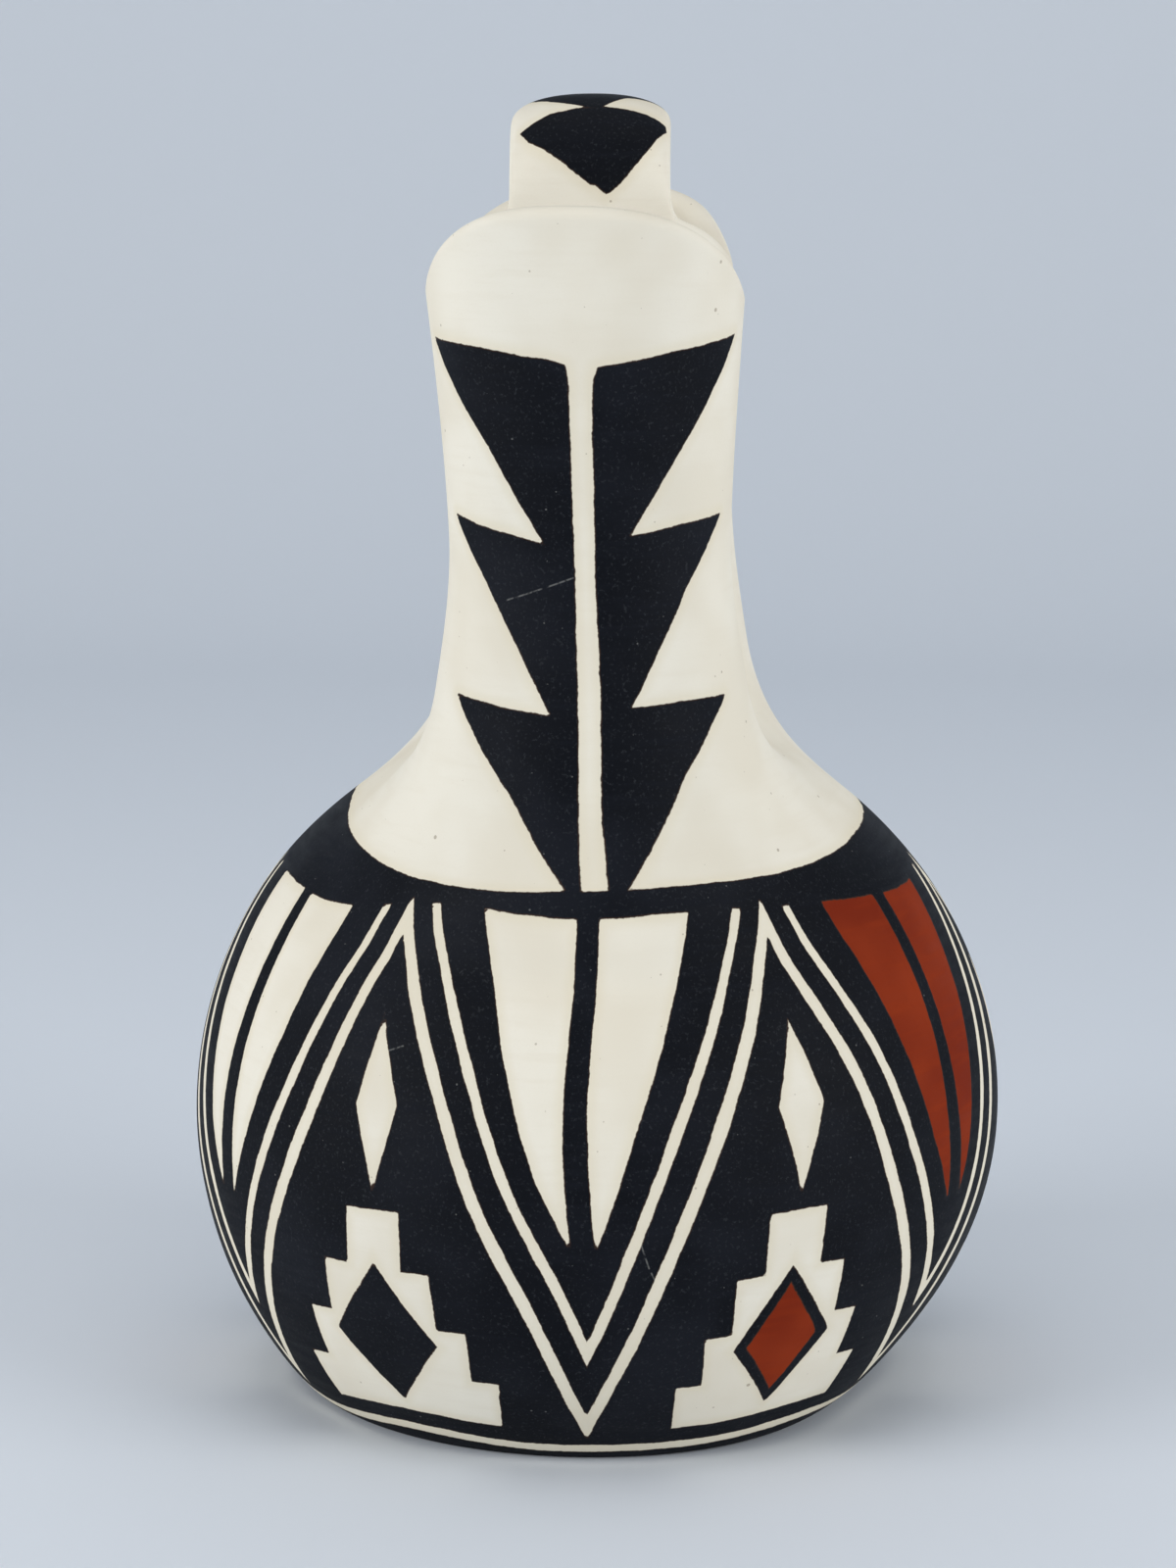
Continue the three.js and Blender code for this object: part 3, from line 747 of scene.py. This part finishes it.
def base_piece(material):
    heights = ball_heights(FOOT_EDGE_HEIGHT, BASE_SEAM, BASE_ROWS, 0.0)
    edge = np.linspace(0, 1, FOOT_EDGE_ROWS + 1)
    edge_heights = FOOT_EDGE_HEIGHT * edge ** 2
    edge_radii = ball_radius_at(edge_heights, 0.0) - FOOT_EDGE_DRAW * (1 - edge) ** 2
    under_radii = np.linspace(CENTRE_SHARE, 1.0, UNDER_ROWS + 1)[:-1] ** UNDER_SPACING * edge_radii[0]
    dish_start, dish_end = [share * FOOT_RADIUS for share in DISH_SHARES]
    under_heights = FOOT_DISH * (1 - smoothstep(under_radii, dish_start, dish_end))
    inner_foot = FLOOR_THICKNESS + FLOOR_CORNER["rise"]
    inner_heights = ball_heights(inner_foot, BASE_SEAM, INNER_BASE_ROWS, WALL)[::-1]
    inner_radii = ball_radius_at(inner_heights, WALL)
    corner = np.linspace(0, math.pi / 2, FLOOR_CORNER_ROWS + 1)[1:]
    corner_radii = inner_radii[-1] - FLOOR_CORNER["width"] * (1 - np.cos(corner))
    corner_heights = inner_heights[-1] - FLOOR_CORNER["rise"] * np.sin(corner)
    floor_radii = np.linspace(1.0, CENTRE_SHARE, FLOOR_ROWS + 1)[1:] * corner_radii[-1]
    radii = np.concatenate([
        under_radii, edge_radii, ball_radius_at(heights[1:], 0.0), inner_radii, corner_radii, floor_radii])
    profile = np.concatenate([
        under_heights, edge_heights, heights[1:], inner_heights, corner_heights,
        np.full(len(floor_radii), FLOOR_THICKNESS)])
    rows = turned_rows(radii, profile, BALL_COLUMNS)
    points = rows.reshape(-1, 3)
    faces = ring_faces(len(rows), BALL_COLUMNS)
    caps = [np.arange(BALL_COLUMNS), (len(rows) - 1) * BALL_COLUMNS + np.arange(BALL_COLUMNS)]
    centres = np.array([[0, 0, under_heights[0]], [0, 0, FLOOR_THICKNESS]])
    first = len(points)
    points = np.concatenate([points, centres])
    fans = []
    for place, ring in enumerate(caps):
        after = np.roll(ring, -1)
        pair = (after, ring) if place == 0 else (ring, after)
        fans.append(np.stack([pair[0], pair[1], np.full(BALL_COLUMNS, first + place),
                              np.full(BALL_COLUMNS, first + place)], -1))
    faces = np.concatenate([faces, *fans])
    return make_piece("base_painted", points, faces, vase_colours, material,
                      ["base"], inside_ball)


def belly_piece(material):
    outer = ball_heights(BASE_SEAM, SHOULDER_SEAM, BELLY_ROWS, 0.0)
    inner = ball_heights(BASE_SEAM, SHOULDER_SEAM, INNER_BELLY_ROWS, WALL)[::-1]
    radii = np.concatenate([ball_radius_at(outer, 0.0), ball_radius_at(inner, WALL)])
    rows = turned_rows(radii, np.concatenate([outer, inner]), BALL_COLUMNS)
    faces = ring_faces(len(rows), BALL_COLUMNS, closed=True)
    return make_piece("belly_wall_painted", rows.reshape(-1, 3), faces, vase_colours, material,
                      ["belly_wall"], inside_ball)


def shoulder_piece(material):
    outer = flare_rows(0.0, FLARE_ROWS)
    inner = flare_rows(WALL, INNER_FLARE_ROWS)[::-1]
    rows = np.concatenate([outer, inner])
    count = len(rows)
    faces = ring_faces(count, RING_COLUMNS, closed=True)
    seam_row = FLARE_ROWS
    cell_row = np.repeat(np.arange(count), RING_COLUMNS)
    column = np.tile(np.arange(RING_COLUMNS), count)
    past_corner = (column >= CORNER_COLUMN) & (column < RING_COLUMNS - CORNER_COLUMN)
    faces = faces[~((cell_row == seam_row) & past_corner)]
    front = rows.reshape(-1, 3)
    rear = front * np.array([-1.0, -1.0, 1.0])
    points = np.concatenate([front, rear])
    faces = np.concatenate([faces, faces + len(front)])

    def inside(places):
        return -outside_shoulder(places, WALL / 2)

    return make_piece("shoulder_painted", points, faces, vase_colours, material,
                      ["shoulder"], inside)


def spout_piece(name, node_name, mouth, half_turn, material):
    angle = 2 * math.pi * np.arange(RING_COLUMNS) / RING_COLUMNS
    crest = lip_height(angle) - WALL / 2
    up = np.linspace(0, 1, SPOUT_ROWS + 1)[:, None]
    lip = np.linspace(0, math.pi, LIP_ROWS + 1)[1:-1, None]
    down = 1 - np.linspace(0, 1, INNER_SPOUT_ROWS + 1)[:, None] ** INNER_SPOUT_SPACING
    outer = spout_point(angle, lerp(ROOT_HEIGHT, crest, up), 0.0, mouth)
    over = spout_point(angle, crest + WALL / 2 * np.sin(lip), WALL / 2 * (1 - np.cos(lip)), mouth)
    inner = spout_point(angle, lerp(ROOT_HEIGHT, crest, down), WALL, mouth)
    rows = np.concatenate([outer, over, inner])
    points = rows.reshape(-1, 3)

    def own(places):
        return outside_lip(places, mouth)

    def strap(places):
        return outside_strap(places * np.array([-1.0, -1.0, 1.0]) if half_turn else places)

    near = (points[:, 2] > STRAP_FOOT - 2 * STRAP_MELT_DEPTH) & (strap(points) < 2 * STRAP_MELT)
    field = luted(own, strap)
    points[near] = drawn_to(field, points[near], DRAWING_STEPS, own(points[near]))
    if half_turn:
        points = points * np.array([-1.0, -1.0, 1.0])

    def inside(places):
        if half_turn:
            places = places * np.array([-1.0, -1.0, 1.0])
        half_width, half_depth, offset = spout_section(places[..., 2])
        across = (places[..., 0] - mouth["drift"] * mouth_share(places[..., 2])) / (half_width - WALL / 2)
        along = (places[..., 1] + offset) / (half_depth - WALL / 2)
        return (1 - np.hypot(across, along)) * half_depth

    faces = ring_faces(len(rows), RING_COLUMNS, closed=True)
    return make_piece(name, points, faces, vase_colours, material, [node_name], inside)


def strap_piece(material):
    rows = strap_rows(STRAP_ROWS, STRAP_SIDES)
    points = rows.reshape(-1, 3)
    near = outside_lips(points) < 2 * STRAP_MELT
    field = luted(outside_strap, outside_lips)
    level = outside_strap(points[near])
    points[near] = drawn_to(field, points[near], DRAWING_STEPS, level)
    half = np.arange(STRAP_SIDES // 2)
    cap = np.stack([half + 1, half, -half % STRAP_SIDES, (-half - 1) % STRAP_SIDES], -1)
    far_cap = cap[:, ::-1] + STRAP_ROWS * STRAP_SIDES
    faces = np.concatenate([ring_faces(len(rows), STRAP_SIDES), cap, far_cap])
    return make_piece("strap_handle_painted", points, faces, strap_colours, material,
                      ["strap_handle"], nowhere)


# Materials

def srgb(red, green, blue):
    """A colour from its 0 to 255 screen values."""
    parts = [value / 255 for value in (red, green, blue)]
    linear = [part / 12.92 if part <= 0.04045 else ((part + 0.055) / 1.055) ** 2.4 for part in parts]
    return (*linear, 1.0)


SLIP_LIGHT = srgb(238, 232, 217)
SLIP_DEEP = srgb(230, 222, 204)
SLIP_WARM = srgb(226, 216, 190)
SLIP_SPECK = srgb(150, 134, 112)
DARK_DEEP = srgb(12, 15, 21)
DARK_PALE = srgb(23, 26, 33)
DARK_GRAIN = srgb(46, 48, 52)
DARK_EDGE = srgb(72, 50, 36)
DARK_SPECK = srgb(118, 118, 116)
RUST_DEEP = srgb(120, 37, 13)
RUST_PALE = srgb(143, 52, 21)
BARE_CLAY = srgb(206, 199, 182)
SWEEP_PAPER = srgb(230, 236, 244)
PAPER_ROUGHNESS = 0.9
CLAY_SPECULAR = 0.08
BUMP_STRENGTH = 0.35
BUMP_DISTANCE = 0.09 * MM


class Nodes:
    """Short ways to add nodes to a material."""

    def __init__(self, tree):
        self.tree = tree

    def add(self, kind, inputs=(), **settings):
        made = self.tree.nodes.new(kind)
        for name, value in settings.items():
            setattr(made, name, value)
        for name, value in dict(inputs).items():
            if isinstance(value, bpy.types.NodeSocket):
                self.tree.links.new(value, made.inputs[name])
            else:
                made.inputs[name].default_value = value
        return made

    def math(self, operation, first, second=0.0, third=0.0, clamp=False):
        inputs = {0: first, 1: second, 2: third}
        return self.add("ShaderNodeMath", inputs, operation=operation, use_clamp=clamp).outputs[0]

    def noise(self, place, scale, detail=3.0, rough=0.55):
        made = self.add("ShaderNodeTexNoise", {"Vector": place, "Scale": scale, "Detail": detail,
                                               "Roughness": rough})
        return made.outputs["Fac"]

    def step(self, value, low, high, bottom=0.0, top=1.0):
        made = self.add("ShaderNodeMapRange", {"Value": value, "From Min": low, "From Max": high,
                                               "To Min": bottom, "To Max": top},
                        interpolation_type="SMOOTHSTEP")
        return made.outputs["Result"]

    def mix(self, share, first, second):
        made = self.add("ShaderNodeMix", {"Factor": share}, data_type="RGBA")
        for place, value in ((6, first), (7, second)):
            if isinstance(value, bpy.types.NodeSocket):
                self.tree.links.new(value, made.inputs[place])
            else:
                made.inputs[place].default_value = value
        return made.outputs[2]

    def segment_distance(self, place, start, end):
        """Distance in millimetres from a segment between two points, given as sideways and up."""
        start, end = [Vector((across * MM, 0.0, up * MM)) for across, up in (start, end)]
        run = end - start
        away = self.add("ShaderNodeVectorMath", {0: place, 1: start}, operation="SUBTRACT").outputs[0]
        along = self.add("ShaderNodeVectorMath", {0: away, 1: run}, operation="DOT_PRODUCT")
        share = self.math("DIVIDE", along.outputs["Value"], run.dot(run), clamp=True)
        reached = self.add("ShaderNodeVectorMath", {0: run, "Scale": share}, operation="SCALE").outputs[0]
        gap = self.add("ShaderNodeVectorMath", {0: away, 1: reached}, operation="DISTANCE").outputs["Value"]
        return self.math("DIVIDE", gap, MM)

    def specks(self, place, cell_mm, radius_mm, share):
        """Round specks, one in some cells of a random grid, with sizes that vary."""
        cells = self.add("ShaderNodeTexVoronoi", {"Vector": place, "Scale": 1 / (cell_mm * MM)})
        chance = self.add("ShaderNodeSeparateColor", {"Color": cells.outputs["Color"]})
        size = self.math("MULTIPLY", chance.outputs[1], radius_mm / cell_mm)
        near = self.math("LESS_THAN", cells.outputs["Distance"], size)
        chosen = self.math("LESS_THAN", chance.outputs[0], share)
        return self.math("MULTIPLY", near, chosen)


def painted_clay():
    """Cream slip with dark and rust mineral paint, all matte, over bare clay inside."""
    material = bpy.data.materials.new("painted_clay")
    material.use_nodes = True
    tree = material.node_tree
    tree.nodes.clear()
    n = Nodes(tree)
    place = n.add("ShaderNodeTexCoord").outputs["Object"]
    stroke_place = n.add("ShaderNodeMapping", {"Vector": place, "Scale": (1.0, 1.0, 9.0)}).outputs[0]

    broad = n.noise(place, 38.0, 2.0)
    strokes = n.noise(stroke_place, 60.0, 4.0)
    grain = n.noise(place, 2600.0, 2.0)
    fine = n.noise(place, 900.0, 3.0)
    mottle = n.noise(place, 1700.0, 2.0, 0.6)

    # Edge of each painted colour, drawn with a slightly unsteady brush
    unsteady = n.math("MULTIPLY_ADD", n.noise(place, 220.0, 2.0), 0.6, -0.3)
    ragged = n.math("MULTIPLY_ADD", n.noise(place, 1300.0, 2.0), 0.3, -0.15)
    wander = n.math("ADD", unsteady, ragged)
    dark_drawn = n.add("ShaderNodeAttribute", attribute_name="dark").outputs["Fac"]
    dark_distance = n.math("ADD", dark_drawn, wander)
    rust_distance = n.add("ShaderNodeAttribute", attribute_name="rust").outputs["Fac"]
    bare_depth = n.add("ShaderNodeAttribute", attribute_name="bare").outputs["Fac"]
    dark = n.step(dark_distance, -0.09, 0.09, 1.0, 0.0)
    rust = n.step(rust_distance, 0.9, 1.1, 1.0, 0.0)
    edge = n.step(n.math("ABSOLUTE", dark_distance), 0.0, 0.35, 1.0, 0.0)
    bare = n.step(bare_depth, 0.2, 2.4)

    # Cream slip
    slip = n.mix(n.step(broad, 0.35, 0.68), SLIP_LIGHT, SLIP_DEEP)
    slip = n.mix(n.step(strokes, 0.45, 0.75, 0.0, 0.35), slip, SLIP_DEEP)
    slip = n.mix(n.step(grain, 0.5, 0.8, 0.0, 0.25), slip, SLIP_DEEP)
    slip = n.mix(n.step(dark_distance, 0.0, 2.6, 0.5, 0.0), slip, SLIP_WARM)
    slip = n.mix(n.math("MULTIPLY", n.specks(place, 5.5, 0.42, 0.55), 0.6), slip, SLIP_SPECK)
    slip = n.mix(n.math("MULTIPLY", n.specks(place, 3.2, 0.24, 0.4), 0.5), slip, SLIP_SPECK)
    slip = n.mix(n.math("MULTIPLY", n.specks(place, 2.3, 0.16, 0.4), 0.45), slip, SLIP_SPECK)

    # Rust
    rusty = n.mix(n.step(broad, 0.35, 0.7), RUST_DEEP, RUST_PALE)
    rusty = n.mix(n.step(strokes, 0.42, 0.75, 0.0, 0.5), rusty, RUST_PALE)
    rusty = n.mix(n.step(fine, 0.55, 0.8, 0.0, 0.3), rusty, RUST_DEEP)

    # Dark paint, thinner and browner at its edge
    darkness = n.mix(n.step(broad, 0.4, 0.72), DARK_DEEP, DARK_PALE)
    darkness = n.mix(n.step(strokes, 0.45, 0.8, 0.0, 0.6), darkness, DARK_PALE)
    darkness = n.mix(n.step(mottle, 0.54, 0.78, 0.0, 0.75), darkness, DARK_GRAIN)
    darkness = n.mix(n.math("MULTIPLY", edge, 0.75), darkness, DARK_EDGE)
    darkness = n.mix(n.math("MULTIPLY", n.specks(place, 2.6, 0.2, 0.5), 0.55), darkness, DARK_SPECK)

    flat_place = n.add("ShaderNodeMapping", {"Vector": place, "Scale": (1.0, 0.0, 1.0)}).outputs[0]
    scratch = NO_PAINT
    for start, end in SCRATCHES:
        scratch = n.math("MINIMUM", n.segment_distance(flat_place, start, end), scratch)
    in_front = n.step(n.add("ShaderNodeSeparateXYZ", {"Vector": place}).outputs["Y"], -MM, MM, 1.0, 0.0)
    scratched = n.math("MULTIPLY", n.step(scratch, 0.05, 0.2, 1.0, 0.0), n.step(fine, 0.36, 0.6))
    scratched = n.math("MULTIPLY", scratched, in_front)
    darkness = n.mix(n.math("MULTIPLY", scratched, 0.7), darkness, DARK_SPECK)

    clay = n.mix(n.step(fine, 0.4, 0.7, 0.0, 0.5), BARE_CLAY, SLIP_DEEP)
    colour = n.mix(rust, slip, rusty)
    colour = n.mix(dark, colour, darkness)
    colour = n.mix(bare, colour, clay)

    rough = n.step(strokes, 0.3, 0.75, 0.74, 0.86)
    rough = n.math("SUBTRACT", rough, n.math("MULTIPLY", dark, 0.18))
    rough = n.math("SUBTRACT", rough, n.math("MULTIPLY", rust, 0.06))

    height = n.math("MULTIPLY", grain, 0.5)
    height = n.math("ADD", height, n.math("MULTIPLY", fine, 0.6))
    height = n.math("ADD", height, n.math("MULTIPLY", strokes, 1.2))
    height = n.math("SUBTRACT", height, n.math("MULTIPLY", n.specks(place, 7.0, 0.35, 0.4), 1.5))
    bump = n.add("ShaderNodeBump", {"Strength": BUMP_STRENGTH, "Distance": BUMP_DISTANCE, "Height": height})

    shader = n.add("ShaderNodeBsdfPrincipled", {"Base Color": colour, "Roughness": rough,
                                                "Normal": bump.outputs[0]})
    shader.inputs["Specular IOR Level"].default_value = CLAY_SPECULAR
    n.add("ShaderNodeOutputMaterial", {"Surface": shader.outputs[0]})
    return material


def plain(name, colour, rough):
    material = bpy.data.materials.new(name)
    material.use_nodes = True
    shader = material.node_tree.nodes["Principled BSDF"]
    shader.inputs["Base Color"].default_value = colour
    shader.inputs["Roughness"].default_value = rough
    return material


# Camera, floor and light

CAMERA_PLACE = (0.0264, -0.7557, 0.2487)
CAMERA_TURN = 2.0
CAMERA_PITCH = -10.1
FOCAL_PIXELS = 4128
FRAME_PIXELS = 1600
SENSOR = 36.0
AXIS_SHIFT_PIXELS = 10
NEAREST_SEEN = 0.01
SWEEP_ARC_STEPS = 32

# Softboxes: name, place, size and power, all aimed near the middle of the vase
SOFTBOXES = (
    ("left", (-1.3, -0.75, 0.5), 0.9, 12.6),
    ("right", (1.3, -0.72, 0.45), 0.9, 11.2),
    ("top", (0.0, -0.1, 1.5), 1.0, 3.8),
)
SOFTBOX_AIM = (0.0, 0.0, 0.11)
WORLD_TINT = (0.9, 0.95, 1.0, 1.0)
WORLD_STRENGTH = 0.35


def add_camera():
    data = bpy.data.cameras.new("camera")
    data.sensor_fit = "AUTO"
    data.sensor_width = SENSOR
    data.lens = FOCAL_PIXELS / FRAME_PIXELS * SENSOR
    data.shift_x = -AXIS_SHIFT_PIXELS / FRAME_PIXELS
    data.clip_start = NEAREST_SEEN
    camera = bpy.data.objects.new("camera", data)
    camera.location = CAMERA_PLACE
    camera.rotation_euler = (math.radians(90 + CAMERA_PITCH), 0.0, math.radians(CAMERA_TURN))
    bpy.context.scene.collection.objects.link(camera)
    bpy.context.scene.camera = camera


def add_sweep():
    """Floor that curves up into a backdrop."""
    half, front, back, radius, top = 3.0, -3.0, 1.6, 0.7, 3.2
    arc = [(back - radius + radius * math.sin(turn), radius - radius * math.cos(turn))
           for turn in np.linspace(0, math.pi / 2, SWEEP_ARC_STEPS + 1)]
    profile = [(front, 0.0), *arc, (back, top)]
    points = [(side * half, y, z) for y, z in profile for side in (-1, 1)]
    faces = [(2 * i, 2 * i + 1, 2 * i + 3, 2 * i + 2) for i in range(len(profile) - 1)]
    mesh = bpy.data.meshes.new("sweep")
    mesh.from_pydata(points, [], faces)
    mesh.shade_smooth()
    mesh.materials.append(plain("sweep_paper", SWEEP_PAPER, PAPER_ROUGHNESS))
    sweep = bpy.data.objects.new("sweep", mesh)
    bpy.context.scene.collection.objects.link(sweep)


def add_softbox(name, place, size, power):
    data = bpy.data.lights.new(name, "AREA")
    data.shape = "SQUARE"
    data.size = size
    data.energy = power
    lamp = bpy.data.objects.new(name, data)
    lamp.location = place
    lamp.rotation_euler = (Vector(SOFTBOX_AIM) - Vector(place)).to_track_quat("-Z", "Y").to_euler()
    bpy.context.scene.collection.objects.link(lamp)


def add_light():
    for softbox in SOFTBOXES:
        add_softbox(*softbox)
    world = bpy.data.worlds.new("studio")
    world.use_nodes = True
    background = world.node_tree.nodes["Background"]
    background.inputs["Color"].default_value = WORLD_TINT
    background.inputs["Strength"].default_value = WORLD_STRENGTH
    bpy.context.scene.world = world


def add_vase():
    clay = painted_clay()
    base_piece(clay)
    belly_piece(clay)
    shoulder_piece(clay)
    spout_piece("spout_front_painted", "spout_front", FRONT_MOUTH, False, clay)
    spout_piece("spout_rear_painted", "spout_rear", turned(REAR_MOUTH), True, clay)
    strap_piece(clay)


add_camera()
add_sweep()
add_light()
add_vase()
bpy.context.scene.view_settings.view_transform = "Standard"
